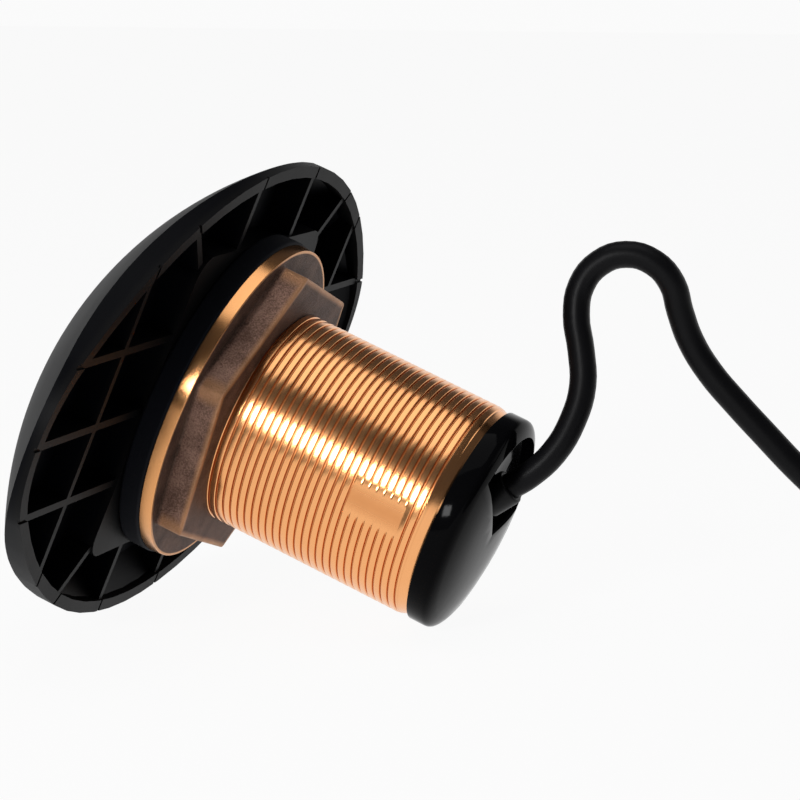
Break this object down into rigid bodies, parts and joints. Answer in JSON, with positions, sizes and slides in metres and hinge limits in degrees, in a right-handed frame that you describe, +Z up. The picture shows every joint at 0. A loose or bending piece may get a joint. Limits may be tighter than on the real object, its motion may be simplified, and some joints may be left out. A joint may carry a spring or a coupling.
{
  "type": "sonar transducer",
  "caption": "Sonar transducer with an oval ribbed housing, threaded bronze stem, flanged hull nut, soft washer, domed cap and a coiled cable with a moulded plug, lying on its side.",
  "frame": {"origin": "centre of the transducer's bounding box at the floor it lies on, without its cable", "axes": "+Y along the housing's length, +X towards the cap and the cable, +Z up; the stem points to +X and a little down, as the part rests on its long edge and its cap"},
  "size_m": [0.2823, 0.182, 0.1021],
  "materials": {
    "housing_plastic": "satin moulded",
    "window_plastic": "fine satin",
    "stem_bronze": "machined thread",
    "seal_rubber": "matte",
    "spring_steel": "brushed",
    "carrier_plastic": "matte",
    "screw_steel": "brushed",
    "backing_rubber": "matte foam",
    "bar_ceramic": "fired",
    "disc_ceramic": "fired",
    "sensor_brass": "machined",
    "board_laminate": "semi-gloss laminate",
    "lead_jacket": "satin",
    "washer_rubber": "matte",
    "nut_bronze": "cast with machined flange",
    "cap_plastic": "glossy",
    "gland_rubber": "satin",
    "cable_jacket": "satin",
    "coil_jacket": "satin",
    "tie_fabric": "woven hook and loop",
    "relief_rubber": "matte",
    "plug_plastic": "satin moulded",
    "insert_plastic": "matte",
    "contact_brass": "plated"
  },
  "bodies": {
    "root": {"housing": "housing_plastic", "acoustic_window": "window_plastic", "stem": "stem_bronze", "stem_oring": "seal_rubber", "stem_clip": "spring_steel", "element_carrier": "carrier_plastic", "carrier_screws": "screw_steel", "backing_pads": "backing_rubber", "scan_bars": "bar_ceramic", "depth_element": "disc_ceramic", "temperature_sensor": "sensor_brass", "circuit_board": "board_laminate", "inner_lead": "lead_jacket", "hull_washer": "washer_rubber", "hull_nut": "nut_bronze", "stem_cap": "cap_plastic", "cable_gland": "gland_rubber", "cable": "cable_jacket", "cable_coil": "coil_jacket", "coil_tie": "tie_fabric", "plug_relief": "relief_rubber", "plug_body": "plug_plastic", "plug_insert": "insert_plastic", "plug_contacts": "contact_brass"}
  },
  "joints": []
}
